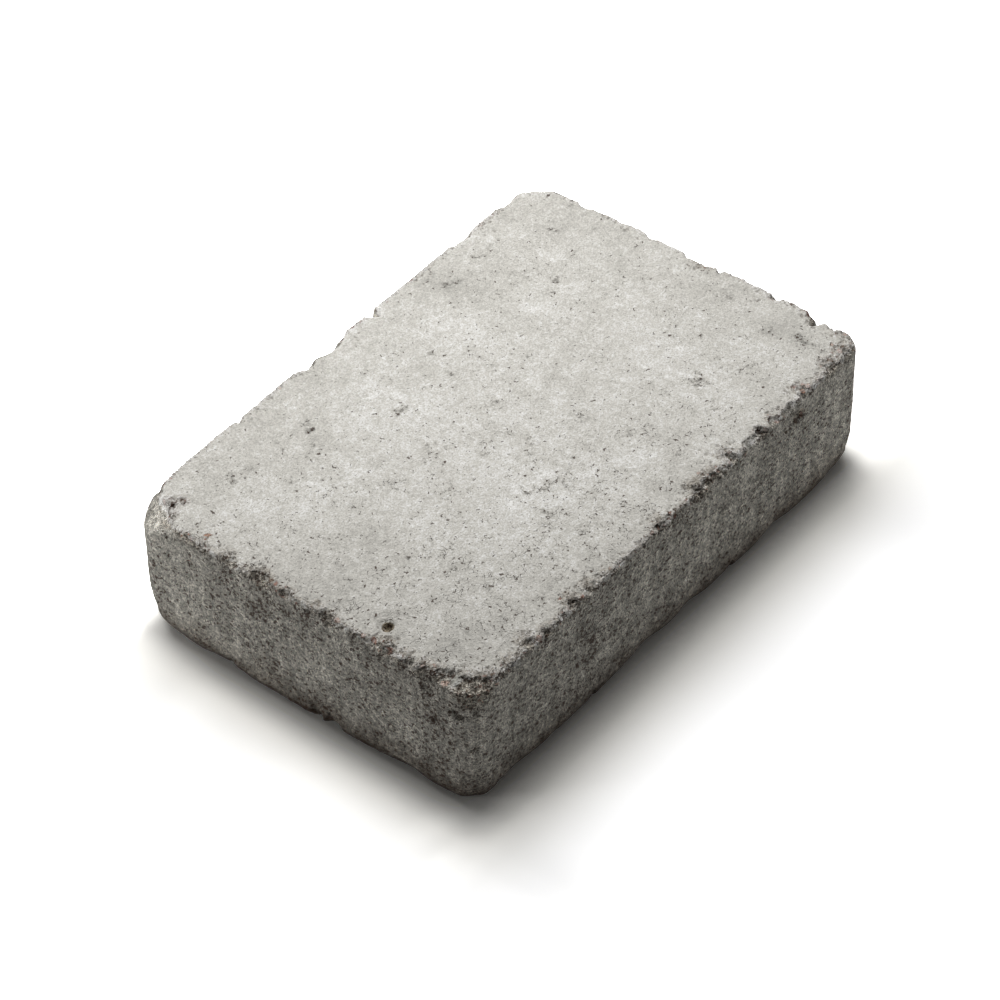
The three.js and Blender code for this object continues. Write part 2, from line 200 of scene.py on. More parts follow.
def whitePaper():
    # matt white paper: the camera sees it whiter than it is to the light that it throws back, and less
    # white near the stone, which paints its shadow
    paper = bpy.data.materials.new("whitePaper")
    paper.use_nodes = True
    tree = paper.node_tree
    tree.nodes.clear()

    # metres from the stone's box
    place = addNode(tree, "ShaderNodeNewGeometry", output="Position")
    gap = addNode(tree, "ShaderNodeVectorMath", {"operation": "ABSOLUTE"}, {0: place})
    gap = addNode(tree, "ShaderNodeVectorMath", {"operation": "SUBTRACT"}, {0: gap, 1: tuple(cadBox[1])})
    gap = addNode(tree, "ShaderNodeVectorMath", {"operation": "MAXIMUM"}, {0: gap, 1: (0, 0, 0)})
    gap = addNode(tree, "ShaderNodeVectorMath", {"operation": "LENGTH"}, {0: gap}, "Value")

    # whiteness to the camera, by distance and then by part of the floor: painted shadow
    atStone, inShadow, beyond = studio["floorSeen"]
    start, middle, shadowEnd, end = studio["floorReach"]
    seen = addNode(tree, "ShaderNodeMapRange", None, {
        "Value": gap, "From Min": start, "From Max": middle, "To Min": atStone, "To Max": inShadow,
    })
    seen = addNode(tree, "ShaderNodeMapRange", {"interpolation_type": "SMOOTHSTEP"}, {
        "Value": gap, "From Min": shadowEnd, "From Max": end, "To Min": seen, "To Max": beyond,
    })
    for part in studio["floorParts"]:
        amount = part["measure"] - 1
        for direction, begins, complete in part["borders"]:
            across = addNode(tree, "ShaderNodeVectorMath", {"operation": "DOT_PRODUCT"},
                             {0: place, 1: direction + (0,)}, "Value")
            amount = addNode(tree, "ShaderNodeMapRange", {"interpolation_type": "SMOOTHSTEP"}, {
                "Value": across, "From Min": begins, "From Max": complete, "To Max": amount,
            })
        seen = addNode(tree, "ShaderNodeMath", {"operation": "MULTIPLY_ADD"},
                       {0: seen, 1: amount, 2: seen})

    tinted = addNode(tree, "ShaderNodeMapRange", None,
                     {"Value": gap, "From Min": middle, "From Max": shadowEnd})
    tinted = addNode(tree, "ShaderNodeMix", {"data_type": "RGBA"},
                     {0: tinted, 6: studio["floorTint"], 7: (1, 1, 1, 1)}, 2)
    tinted = addNode(tree, "ShaderNodeVectorMath", {"operation": "SCALE"}, {0: tinted, "Scale": seen})
    byCamera = addNode(tree, "ShaderNodeLightPath", output="Is Camera Ray")
    colour = addNode(tree, "ShaderNodeMix", {"data_type": "RGBA"},
                     {0: byCamera, 6: linearColour(studio["floorOther"]), 7: tinted}, 2)
    surface = addNode(tree, "ShaderNodeBsdfDiffuse", None, {"Color": colour})
    addNode(tree, "ShaderNodeOutputMaterial", None, {"Surface": surface})
    return paper


def makeStudio():
    hangLamps()
    makeRoom()
    half = studio["floorSize"] / 2
    corners = [(-half, -half, 0), (half, -half, 0), (half, half, 0), (-half, half, 0)]
    mesh = bpy.data.meshes.new("studioFloor")
    mesh.from_pydata(corners, [], [(0, 1, 2, 3)])
    mesh.materials.append(whitePaper())
    floor = bpy.data.objects.new("studioFloor", mesh)
    bpy.context.scene.collection.objects.link(floor)
    print("studio made")


stone = {
    "voxel": 0.6,  # mm, grid of the working mesh, which is halved near the top arris
    "fineReach": 7.0,  # mm from the top arris
    "facetSmoothing": {"passes": 3, "factor": 0.5},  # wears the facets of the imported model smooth
    "triangles": 195000,
    "seed": 7,
    # the block as it was before it chipped, in mm: the rounds of its outline, of its top arris and of
    # its bed arris, over the bed and up the walls, and how wide an upright arris is to each side
    "cornerRadius": 10.0,
    "topRadius": 1.4,
    "bedRadius": (3.4, 9.2),
    "uprightWidth": 3.0,
    "wallTilt": (0.5, 0.9),  # upright part of the normal where a wall ends and a level face begins
    "backFrom": (50, 60),  # mm in Y over which the back begins
    "rightFrom": (93, 99),  # mm in X over which the right end begins
    "rightClear": (-60, -50),  # mm in Y over which its near corner ends
    "wear": {"deep": 0.02, "lumps": 26},  # mm worn off all over, and mm from lump to lump
    "wallWear": {"deep": 0.14, "lumps": 3.6},  # and more on the walls, where the mould left no skin
    # where the top arris is rubbed down between lumps: how deep, how far from the arris and from lump
    # to lump, in mm, how much more of it is rubbed than not, how smooth that leaves it, and the share
    # of it that the back has
    "arrisWear": {"deep": 1.0, "reach": 2.1, "lumps": 4.5, "more": 0.3, "smooth": 1.5, "atBack": 0.15},
    "rubbed": [(-102, 67, 10, 6, 0.9)],  # places rubbed down: x, y, z, radius, depth in mm
    # corners knocked off: the direction that the break faces, how far out it lies and how lumpy it
    # is, in mm
    "breaks": [((-0.551, 0.451, 0.702), 116.4, 1.2), ((0.499, 0.399, 0.769), 114.7, 0.8)],
    "breakLumps": 4.0,  # mm from lump to lump
    "edgeReach": 12.0,  # mm over which the wearing face is worn duller toward its arrises
    # how sound and pale the skin is at the arrises of the right end and the back, and mm that it reaches
    "soundSkin": {"right": 1.1, "back": 1.7, "reach": 2.5},
    # sand and grit near an arris: size of a grain, how deep its hole is, how far the loss reaches,
    # how much of it there is and how much painted shade the hole gets
    "grains": [
        {"size": 2.4, "hole": 0.9, "reach": 1.0, "loss": 0.28, "paintedShade": 0.2},
        {"size": 1.3, "hole": 0.65, "reach": 1.8, "loss": 0.37, "paintedShade": 0.4},
        {"size": 0.8, "hole": 0.45, "reach": 2.8, "loss": 0.42, "paintedShade": 0.45},
    ],
    "grainBend": {"lumps": 1.9, "far": 0.4},  # of a grain's outline: mm from bend to bend, and sizes
    "holeRim": 0.3,  # slope at the rim of a grain's hole, in sizes
    "holeDepths": (0.7, 0.6),  # shallowest hole, and how much deeper they go, as shares of its depth
    # joint between the grains that are still there: how deep beside a grain of this size, in mm, how
    # wide, in sizes, and how much painted shade it gets
    "crevice": {"deep": 0.32, "grain": 2.0, "wide": 0.22, "paintedShade": 0.3},
    # how the loss of grains goes: how patchy it is, mm from patch to patch, mm that it reaches at
    # least, and the most that it comes to
    "loss": {"patchy": 0.9, "patch": 9.0, "least": 0.2, "most": 2.0},
    # share of the grains that went at each arris, and how many times the grain's own reach it goes
    "arrisLoss": {"top": (0.7, 1), "bed": (0.2, 1), "upright": (0.12, 2)},
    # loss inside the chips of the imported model, and mm down at which a chip begins and is sure
    "chipLoss": {"share": 0.3, "depth": (0.7, 1.4)},
    "freshFrom": (0.25, 0.6),  # loss at which the surface begins to look freshly broken, and all does
    # stretches that crumbled more: x, y, z, radius in mm, and how much of the grains went
    "crumbled": [
        (-98.5, 57, 51, 2.4, 1.8), (-95.5, 60, 51, 2.2, 1.8), (-100.5, 55, 51, 2, 1.4),
        (-92.5, 57.5, 52, 1.4, 2.0), (-103, 40, 52, 5, 0.45), (-103, 31, 52, 5, 0.45),
        (-104, 16, 52, 3.4, 1.3), (-104, 5, 52, 3, 0.8), (-104, -6, 52, 3, 0.7), (-104, -12, 51, 3, 0.9),
        (-103, -34, 52, 4, 0.8), (-103, -41, 52, 4, 0.8), (-103, -48, 52, 3, 1.3),
        (-103, -53, 51.5, 3, 1.4), (-99, -64, 48, 7, 0.7), (-99, -69, 51, 3, 0.7),
        (-94, -68, 52, 4, 0.8), (-85, -68, 52, 3, 0.7), (-75, -67, 52, 4, 0.8), (-68, -69, 52, 3, 0.8),
        (-59, -69, 52, 2, 0.8), (-53, -67, 52, 3, 0.9), (-44, -67, 52, 3, 0.8), (-37, -68, 52, 2, 0.6),
        (-8, -68, 52, 4, 0.7), (13, -68, 51.5, 4, 1.2), (17, -67, 52, 3, 0.8), (21, -68, 52, 3, 0.9),
        (30, -67, 52, 4, 0.8), (46, -68.5, 51.5, 2.2, 2.0), (52, -67, 52, 3, 0.5),
        (61, -70, 48, 5, 0.25), (66, -70, 44, 3, 0.7), (70, -67, 52, 3, 0.8), (86, -67, 52, 4, 0.8),
        (94, -67, 52, 4, 0.8), (104, -5, 51, 5, 0.7), (104, -33, 51, 4, 0.7), (103, -51, 51, 4, 0.6),
        (102, -61, 51, 5, 0.5), (-52, 69, 51, 4, 0.2), (15, 69, 51, 4, 0.2), (65, 69, 51, 5, 0.15),
    ],
    "crumbledLoss": 1.2,  # loss that an amount of 1 stands for
    "crumbledReach": (0.6, 0.4),  # even part and patchy part of the radius
    # where a pebble came out: x, y, z, radius, and how much wider that is, in mm
    "pebbleHole": (-96.2, -29.6, 50.5, 3.4, 0.55),
    "pebbleRagged": 0.3,  # of its rim, in radii
    # coloured grains laid bare: x, y, z, size in mm, and the name of the colour
    "bareGrains": [
        (-99.5, 41, 52, 2.6, "rust"), (-105, 47.5, 51, 1.8, "red"), (-105, 45, 41.5, 2.6, "red"),
        (-103.3, 9.8, 51.5, 1.8, "red"), (-103.2, 14.5, 51.5, 1.6, "pink"),
        (-103.5, -15.5, 51.6, 2.4, "pink"), (-103.6, -26, 51.5, 2.2, "pink"),
        (-103.4, -30, 51.3, 2.4, "red"), (-104, -40.5, 51.5, 2.2, "quartz"),
        (-104, -50.3, 51.0, 2.0, "red"), (-103, -57.5, 49.5, 3.2, "pink"),
        (-100.5, -59.5, 50.0, 5.0, "grey"), (-102.5, -61.5, 46.5, 5.0, "grey"),
        (-100.5, -65, 45.5, 5.5, "grey"), (-97.5, -67.5, 46, 4.5, "grey"), (-104.4, -66, 49, 1.8, "red"),
        (-96, -66.5, 51.8, 1.8, "brown"), (-93, -67.6, 51.8, 1.6, "brown"),
        (-72, -69.6, 51.5, 3.0, "pink"), (-60, -69.5, 51.5, 3.0, "pale"), (-53, -68.4, 51.5, 2.0, "red"),
        (-49.5, -69, 51.3, 2.2, "red"), (-30, -70, 50.0, 3.0, "pale"), (-13, -69, 51.6, 1.8, "pink"),
        (28.6, -69.4, 51.4, 2.8, "pink"), (52.3, -68, 51.6, 2.4, "rust"), (60, -69.8, 51.0, 1.8, "rust"),
        (70.2, -68.3, 51.4, 2.6, "rust"), (72.6, -68.2, 51.4, 3.0, "pink"),
        (88, -67, 51.7, 2.0, "brown"), (93.6, -66.8, 51.6, 2.4, "pink"), (103, -47, 51.0, 2.4, "red"),
        (-96, -29.5, 49.4, 6.4, "sand"), (-74, -69.9, 50.0, 3.0, "pale"), (5, -69.8, 51.2, 2.4, "pale"),
        (24.5, -69.8, 51, 2.6, "pale"), (33, -69.8, 51, 2.8, "pale"), (41.5, -69.8, 51, 3, "pale"),
        (56, -69.8, 51.2, 2.6, "pale"), (64, -69.8, 51, 2.8, "pale"), (75, -69.6, 51.2, 2.6, "pale"),
        (80, -69.6, 51.2, 2.2, "pale"), (-104.6, 35, 51, 2.4, "pale"), (-104.6, 25, 51, 2.6, "pale"),
        (-104.6, -2, 51.2, 2.4, "pale"), (-104.6, -20, 51, 3, "pale"), (-104.6, -36, 51.2, 2.4, "pale"),
        (-83, -69.9, 50.2, 3.6, "pale"), (-38, -69.9, 50.6, 3.0, "pale"), (39, -69.6, 50.4, 4.0, "pale"),
    ],
    # how far the colour of a bare grain reaches and how ragged that is, in sizes, and how much of a
    # hole is left there
    "bareGrain": {"reach": 0.42, "ragged": (0.6, 0.4), "hole": 0.3},
    "grainTints": {
        "rust": "#a8714f", "red": "#a87c6c", "pink": "#cbb0a2", "brown": "#7f6b5a",
        "quartz": "#eeeae4", "sand": "#b5a78f", "pale": "#dedbd3", "grey": "#c2c1b8",
    },
    # share of the finer grains that are tinted, where the break is fresh enough, and their colours
    "tinted": {"share": 0.06, "fresh": 0.3, "names": ("pink", "red", "brown", "pale", "grey")},
    # places on the walls that the mould left smooth and pale, or rough and dark where the amount is
    # below 0; those at the foot of the left end are painted shade: x, y, z, reach along and up the wall
    # in mm, amount
    "smearsAndPaintedShade": [
        (-40, -70, 19, 4, 4, 0.9), (-30, -70, 32, 5, 3.4, 0.9), (36, -70, 42, 3, 3, 0.8),
        (41, -70, 38, 3, 3, 0.8), (16.5, -70, 45, 2.4, 3.4, 1.0), (16.5, -70, 32.5, 2.6, 3, 0.9),
        (11.5, -70, 20, 2.4, 2.4, 0.8), (41, -70, 19, 2.6, 2, 0.7), (41, -70, 13.5, 2, 2, 0.7),
        (52, -70, 6, 1.6, 3, 0.8), (-89.5, -70, 35, 2.4, 12, 0.6), (-60, -70, 36, 1.8, 13, 0.4),
        (-18.5, -70, 32, 2.4, 14, 0.6), (89, -70, 31, 3, 10, 0.8), (-20, -70, 14, 7, 4, 0.4),
        (75, -70, 14, 9, 5, 0.4), (-75, -70, 13, 8, 4, 0.4), (-47, -70, 28, 5, 20, -0.6),
        (68, -70, 42, 4, 2, -0.4), (14, -70, 14, 2, 1.6, -0.9), (-99, -67, 40, 3, 8, -0.5),
        (-105, 44, 41, 4, 2.4, -0.6), (-105, 54, 39, 1.6, 1.6, -1.0), (-105, 36, 31, 1.4, 1.4, -1.0),
        (-105, 10, 18, 1.6, 1.6, -1.0), (-105, 5, 44, 1.4, 1.6, -1.0), (-105, -20, 47, 1.6, 4, 0.8),
        (-101, 63, 49, 6, 5, 2.2), (15.5, 67.5, 50, 2.5, 3, 2.0), (-105, -41, 13, 1.8, 1.6, -1.0),
        (-105, -54, 33, 2, 1.8, -1.0), (-105, 30, 12, 16, 4, 0.5), (-105, -30, 10, 14, 3, 0.4),
        (-105, 55, 30, 6, 14, 0.3), (-105, 55, 43, 9, 7, 0.5), (-105, 14, 42, 13, 7, -0.4),
        (-105, -56, 34, 9, 11, -0.4), (-103, -68, 30, 6, 16, 0.5), (88, -70, 40, 6, 9, 0.5),
        (88, -70, 14, 6, 6, 0.7), (-105, 45, 45, 7, 7, 0.7), (-105, 46, 15, 9, 5, 0.7),
        (-105, -11, 28, 4, 6, 0.5), (-105, -24, 13, 6, 4, 0.5), (-105, -9, 48, 3, 4, 0.8),
        (-80, -70, 48.5, 4, 2.5, 1.2), (76, -70, 47, 4, 4, 0.8), (40, -70, 48, 4, 3, 0.6),
        (60, -70, 30, 3, 6, 0.7), (20, -70, 38, 3, 9, 0.5), (84, -70, 9, 8, 4, 0.7),
        (-60, -70, 22, 4, 5, -0.5), (-103, 36, 2, 20, 2.2, -1.3), (-103, 2, 2, 16, 2.2, -1.3),
        (-103, -34, 2, 22, 2.2, -1.5),
        # and the same on the wearing face, which also carries painted shade: darker toward the ends and
        # the front, lighter in the middle
        (-36, 60, 52, 4, 9, 0.5), (-45, 53, 52, 3.5, 9, 0.5), (-53, 47, 52, 3, 9, 0.5),
        (-56, 63, 52, 3, 9, 0.5), (-55, 27.5, 52, 6, 9, 0.7), (-27, 25, 52, 5, 9, 0.9),
        (-28, 36, 52, 3, 9, 0.6), (-68, 23, 52, 3.5, 9, 0.6), (-71, -44, 52, 2.4, 9, 0.9),
        (-72.5, -37, 52, 2.4, 9, 0.9), (-11, -19, 52, 1.8, 9, 0.8), (-36.6, -41.5, 52, 1.8, 9, 0.8),
        (-52, -17.5, 52, 2, 9, 0.7), (-94, -8, 52, 13, 9, -0.8), (95, -8, 52, 12, 9, -0.8),
        (89, -46, 52, 9, 9, -0.9), (-90, -52, 52, 9, 9, -0.9), (-58, -56, 52, 12, 9, -0.8),
        (-70, -4, 52, 14, 9, -0.5), (8, -62, 52, 11, 9, -0.8), (-95, -30, 52, 7, 9, -0.8),
        (-20, 30, 52, 10, 9, 0.6), (0, 14, 52, 8, 9, 0.4), (-20, -30, 52, 8, 9, 0.7),
        (40, -45, 52, 8, 9, 0.6), (76, -56, 52, 8, 9, 0.9), (92, 45, 52, 9, 9, -0.6),
        (-45, 52, 52, 14, 9, -0.5), (40, 56, 52, 8, 9, -0.6), (60, 30, 52, 9, 9, 0.4),
        (-35, -58, 52, 9, 9, -0.5), (62, -54, 52, 9, 9, -0.4), (-70, -36, 52, 10, 9, -0.4),
    ],
}


def randomOf(cells, series):
    # repeatable chance from 0 to 1 for whole-numbered cells, from their bits mixed by large primes
    mixed = cells[:, 0] * 73856093 ^ cells[:, 1] * 19349663 ^ cells[:, 2] * 83492791
    mixed = (mixed ^ (series * 2654435761)) & 0xFFFFFFFF
    mixed = ((mixed ^ (mixed >> 15)) * 2246822519) & 0xFFFFFFFF
    mixed = ((mixed ^ (mixed >> 13)) * 3266489917) & 0xFFFFFFFF
    return ((mixed ^ (mixed >> 16)) & 0xFFFFFF) / 0xFFFFFF


def smoothStep(value, low, high):
    part = np.clip((value - low) / (high - low), 0, 1)
    return part * part * (3 - 2 * part)


def faded(distance, reach):
    # 1 at no distance, about a third at the reach and next to nothing at twice that
    return np.exp(-(distance / reach) ** 2)


def distanceTo(points, place):
    return np.linalg.norm(points - place, axis=1)


def softNoise(points, size, series):
    # smooth noise from -1 to 1, size in mm from lump to lump
    spots = points / size
    low = np.floor(spots).astype(np.int64)
    part = spots - low
    part = part * part * (3 - 2 * part)
    total = np.zeros(len(points))
    for corner in np.ndindex(2, 2, 2):
        weight = np.ones(len(points))
        for axis in range(3):
            weight *= part[:, axis] if corner[axis] else 1 - part[:, axis]
        total += weight * randomOf(low + np.array(corner), series)
    return 2 * total - 1


def layeredNoise(points, size, layers, series):
    # each layer is half as coarse as the one before, weaker, and taken a little way off
    fading, apart = 0.55, 13.7
    total, share, scale = np.zeros(len(points)), 1.0, 0.0
    for layer in range(layers):
        total += share * softNoise(points + apart * layer, size / 2 ** layer, series + layer)
        scale += share
        share *= fading
    return total / scale


def packedGrains(points, size, series):
    # gap to the nearest grain's boundary in sizes, the middle of that grain in mm, and its own chance
    farOff = 9.0  # sizes, further than any grain that is looked at
    spots = points / size
    home = np.floor(spots).astype(np.int64)
    nearest = np.full(len(points), farOff)
    second = np.full(len(points), farOff)
    luck = np.zeros(len(points))
    middles = np.zeros((len(points), 3))
    for step in np.ndindex(3, 3, 3):
        cell = home + np.array(step) - 1
        middle = cell + np.stack([randomOf(cell, series + axis) for axis in range(3)], axis=1)
        distance = np.linalg.norm(spots - middle, axis=1)
        closer = distance < nearest
        second = np.where(closer, nearest, np.minimum(second, distance))
        luck = np.where(closer, randomOf(cell, series + 3), luck)
        middles[closer] = middle[closer]
        nearest = np.where(closer, distance, nearest)
    return second - nearest, middles * size, luck


def appliedMesh(thing):
    graph = bpy.context.evaluated_depsgraph_get()
    return bpy.data.meshes.new_from_object(thing.evaluated_get(graph))


def coordinates(mesh):
    # of all points, in mm
    flat = np.empty(3 * len(mesh.vertices))
    mesh.vertices.foreach_get("co", flat)
    return mmPerMetre * flat.reshape(-1, 3)


def insideRounded(first, second, radius):
    # depth under two faces that meet in a round of this radius
    cornered = (first < radius) & (second < radius)
    underRound = radius - np.hypot(radius - first, radius - second)
    return np.where(cornered, underRound, np.minimum(first, second))


def wearZones(points):
    # distances in mm from the top arris, the bed arris and the uprights, and the depth under the
    # block as it was before it chipped
    low, high = (np.array(corner) * mmPerMetre for corner in cadBox)
    fromEnd = np.minimum(points[:, 0] - low[0], high[0] - points[:, 0])
    fromSide = np.minimum(points[:, 1] - low[1], high[1] - points[:, 1])
    inside = np.maximum(insideRounded(fromEnd, fromSide, stone["cornerRadius"]), 0)
    down = high[2] - points[:, 2]
    overBed, upWall = stone["bedRadius"]
    up = (points[:, 2] - low[2]) * overBed / upWall
    width = stone["uprightWidth"]
    return {
        "top": np.hypot(down, inside),
        "bed": np.hypot(up, inside),
        "upright": np.hypot(np.maximum(fromEnd - width, 0), np.maximum(fromSide - width, 0)),
        "buried": np.minimum(insideRounded(down, inside, stone["topRadius"]),
                             insideRounded(up, inside, overBed)),
    }


def grainLoss(spots, reach, chipped):
    # share of the grains of one size that fell out, and above 1 how deeply they left the surface hollow
    loss = stone["loss"]
    zones = wearZones(spots)
    patchy = 1 + loss["patchy"] * layeredNoise(spots, loss["patch"], 3, stone["seed"])
    share = np.zeros(len(spots))
    for arris, (most, times) in stone["arrisLoss"].items():
        share = np.maximum(share, most * faded(zones[arris], times * reach * patchy + loss["least"]))
    even, varied = stone["crumbledReach"]
    for *place, radius, amount in stone["crumbled"]:
        near = faded(distanceTo(spots, place), radius * (even + varied * patchy))
        share = np.maximum(share, stone["crumbledLoss"] * amount * near)
    return np.maximum(np.minimum(share, loss["most"]), chipped)


def looseGrains(points, bend, chipped):
    # at each point how far holes and crevices go in, in mm, how much painted shade they get, how much
    # of a fresh break it is, and the tint of its grain
    crevice, tinted, rim = stone["crevice"], stone["tinted"], stone["holeRim"]
    shallow, deeper = stone["holeDepths"]
    holes, paintedShade, fresh = np.zeros(len(points)), np.zeros(len(points)), np.zeros(len(points))
    tint = np.zeros((len(points), 4))
    colours = np.array([linearColour(stone["grainTints"][name]) for name in tinted["names"]])
    for number, grain in enumerate(stone["grains"]):
        size = grain["size"]
        bent = points + stone["grainBend"]["far"] * size * bend
        joint, middles, luck = packedGrains(bent, size, stone["seed"] + 10 * number)
        share = grainLoss(middles, grain["reach"], chipped)
        lost = luck < grain["loss"] * share
        hollow = lost * smoothStep(joint, 0.0, rim)
        holes += hollow * grain["hole"] * (shallow + deeper * luck)
        # painted shade in the holes of lost grains and, below, in the crevices between grains
        paintedShade = np.maximum(paintedShade, hollow * grain["paintedShade"] * np.maximum(share, 1) ** 2)
        crumbly = smoothStep(share, *stone["freshFrom"])
        fresh = np.maximum(fresh, crumbly)
        gaping = ~lost * crumbly * (1 - smoothStep(joint, 0.0, crevice["wide"]))
        holes += gaping * crevice["deep"] * size / crevice["grain"]
        paintedShade = np.maximum(paintedShade, crevice["paintedShade"] * gaping)
        # luck near 1 marks the tinted grains, and its last digits their colour; the coarsest have none
        coloured = ~lost & (luck > 1 - tinted["share"]) & (crumbly > tinted["fresh"]) & (number > 0)
        choice = (luck * 1e5).astype(np.int64) % len(colours)
        tint = np.where(coloured[:, None], colours[choice], tint)
    return holes, paintedShade, fresh, tint


def weatherSurface(mesh):
    points = coordinates(mesh)
    normals = np.empty(3 * len(mesh.vertices))
    mesh.vertex_normals.foreach_get("vector", normals)
    normals = normals.reshape(-1, 3)
    series = stone["seed"]
    zones = wearZones(points)
    wall = 1 - smoothStep(np.abs(normals[:, 2]), *stone["wallTilt"])
    back = smoothStep(points[:, 1], *stone["backFrom"])
    right = smoothStep(points[:, 0], *stone["rightFrom"])
    chipped = stone["chipLoss"]["share"] * smoothStep(zones["buried"], *stone["chipLoss"]["depth"])
    # what makes outlines uneven, as one noise for each axis, taken this many mm apart
    bendLumps, apart = stone["grainBend"]["lumps"], 31
    bend = np.stack([
        layeredNoise(points + apart * axis, bendLumps, 2, series + 60 + axis) for axis in range(3)
    ], axis=1)

    # wear, which takes the surface inward, in mm
    wear, wallWear, arris = stone["wear"], stone["wallWear"], stone["arrisWear"]
    inward = wear["deep"] + wear["deep"] * layeredNoise(points, wear["lumps"], 2, series + 40)
    inward += wall * wallWear["deep"] * (0.5 + layeredNoise(points, wallWear["lumps"], 2, series + 30))
    rubbed = np.maximum(layeredNoise(points, arris["lumps"], 2, series + 50) + arris["more"], 0)
    rubbed *= 1 - (1 - arris["atBack"]) * back
    atArris = faded(zones["top"], arris["reach"])
    inward += arris["deep"] * rubbed * atArris
    for *place, radius, deep in stone["rubbed"]:
        inward += deep * faded(distanceTo(points, place), radius)

    # sound skin at the arrises of the right end and the back
    sound = stone["soundSkin"]
    paler = sound["right"] * right * smoothStep(points[:, 1], *stone["rightClear"])
    paler = np.maximum(paler, sound["back"] * back)
    paler *= faded(zones["top"], sound["reach"])

    # grains that fell out, the hole of a pebble, and grains laid bare
    holes, paintedShade, fresh, tint = looseGrains(points, bend, chipped)
    *place, radius, wider = stone["pebbleHole"]
    ragged = radius * (1 + stone["pebbleRagged"] * bend[:, 0])
    inward += wider * (distanceTo(points, place) < ragged)
    bare = stone["bareGrain"]
    for *place, size, name in stone["bareGrains"]:
        ragged = 1 + bare["ragged"][0] * bend[:, 0] + bare["ragged"][1] * bend[:, 1]
        near = distanceTo(points, place) < bare["reach"] * size * ragged
        tint[near] = linearColour(stone["grainTints"][name])
        holes[near] *= bare["hole"]
        paintedShade[near] *= bare["hole"]

    # what the mould or the rubbing left smooth stands out a little; the same marks also carry painted
    # shade into the tone
    smearAndPaintedShade = arris["smooth"] * rubbed * atArris
    for *place, along, high, amount in stone["smearsAndPaintedShade"]:
        spread = np.linalg.norm((points - place) / (along, along, high), axis=1)
        smearAndPaintedShade += amount * faded(spread, 1) * (1 + bend[:, 2])
    inward -= wallWear["deep"] * smearAndPaintedShade
    inward = np.maximum(inward + holes, 0)

    # corners knocked off
    knocked = points.copy()
    for facing, far, lumpy in stone["breaks"]:
        lumps = layeredNoise(points, stone["breakLumps"], 3, series + 70)
        beyond = points @ np.array(facing) - far + lumpy * lumps
        knocked -= np.maximum(beyond, 0)[:, None] * facing
    moved = knocked - normals * inward[:, None]
    mesh.vertices.foreach_set("co", (moved / mmPerMetre).ravel())
    mesh.update()
    return {
        "holeShade": np.minimum(paintedShade, 1), "freshBreak": fresh, "smearAndPaintedShade": smearAndPaintedShade, "grainTint": tint,
        # 1 at the arris, and below 0 where the skin there is sound
        "nearEdge": np.exp(-zones["top"] / stone["edgeReach"]) - paler,
    }


def halvedNearArris(mesh):
    # twice the points along each edge of the mesh near the top arris
    near = wearZones(coordinates(mesh))["top"] < stone["fineReach"]
    shape = bmesh.new()
    shape.from_mesh(mesh)
    edges = [edge for edge in shape.edges if near[edge.verts[0].index] and near[edge.verts[1].index]]
    bmesh.ops.subdivide_edges(shape, edges=edges, cuts=1, use_grid_fill=True)
    bmesh.ops.triangulate(shape, faces=[face for face in shape.faces if len(face.verts) > 4])
    shape.to_mesh(mesh)
    shape.free()


def stoneMesh():
    block = bpy.data.objects.new("roughBlock", frame["nodes"]["paving_stone"].data.copy())
    bpy.context.scene.collection.objects.link(block)
    remesh = block.modifiers.new("evenGrid", "REMESH")
    remesh.mode = "VOXEL"
    remesh.voxel_size = stone["voxel"] / mmPerMetre
    smooth = block.modifiers.new("facetsWornOff", "SMOOTH")
    smooth.factor = stone["facetSmoothing"]["factor"]
    smooth.iterations = stone["facetSmoothing"]["passes"]
    mesh = appliedMesh(block)
    block.modifiers.clear()
    halvedNearArris(mesh)
    print("working mesh:", len(mesh.vertices), "points")
    marks = weatherSurface(mesh)
    print("surface weathered")

    # fewer triangles, whose points take the marks of the nearest point that there was
    finder = KDTree(len(mesh.vertices))
    for number, spot in enumerate(coordinates(mesh)):
        finder.insert(spot, number)
    finder.balance()
    block.data = mesh
    thin = block.modifiers.new("fewerTriangles", "DECIMATE")
    before = sum(len(face.vertices) - 2 for face in mesh.polygons)
    thin.ratio = min(1.0, stone["triangles"] / before)
    thin.use_collapse_triangulate = True
    mesh = appliedMesh(block)
    nearest = [finder.find(spot)[1] for spot in coordinates(mesh)]
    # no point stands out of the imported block
    inBox = np.clip(coordinates(mesh) / mmPerMetre, cadBox[0], cadBox[1])
    mesh.vertices.foreach_set("co", inBox.ravel())
    mesh.update()
    for name, values in marks.items():
        kind, field = ("FLOAT", "value") if values.ndim == 1 else ("FLOAT_COLOR", "color")
        mesh.attributes.new(name, kind, "POINT").data.foreach_set(field, values[nearest].ravel())
    bpy.data.objects.remove(block)
    return mesh


def makeStone():
    mesh = stoneMesh()
    paver = bpy.data.objects.new("concretePaver", mesh)
    bpy.context.scene.collection.objects.link(paver)
    mesh.materials.clear()
    mesh.materials.append(tumbledConcrete())
    mesh.shade_smooth()
    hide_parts("paving_stone")
    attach(paver, "root")
    print("stone made:", len(mesh.polygons), "triangles")


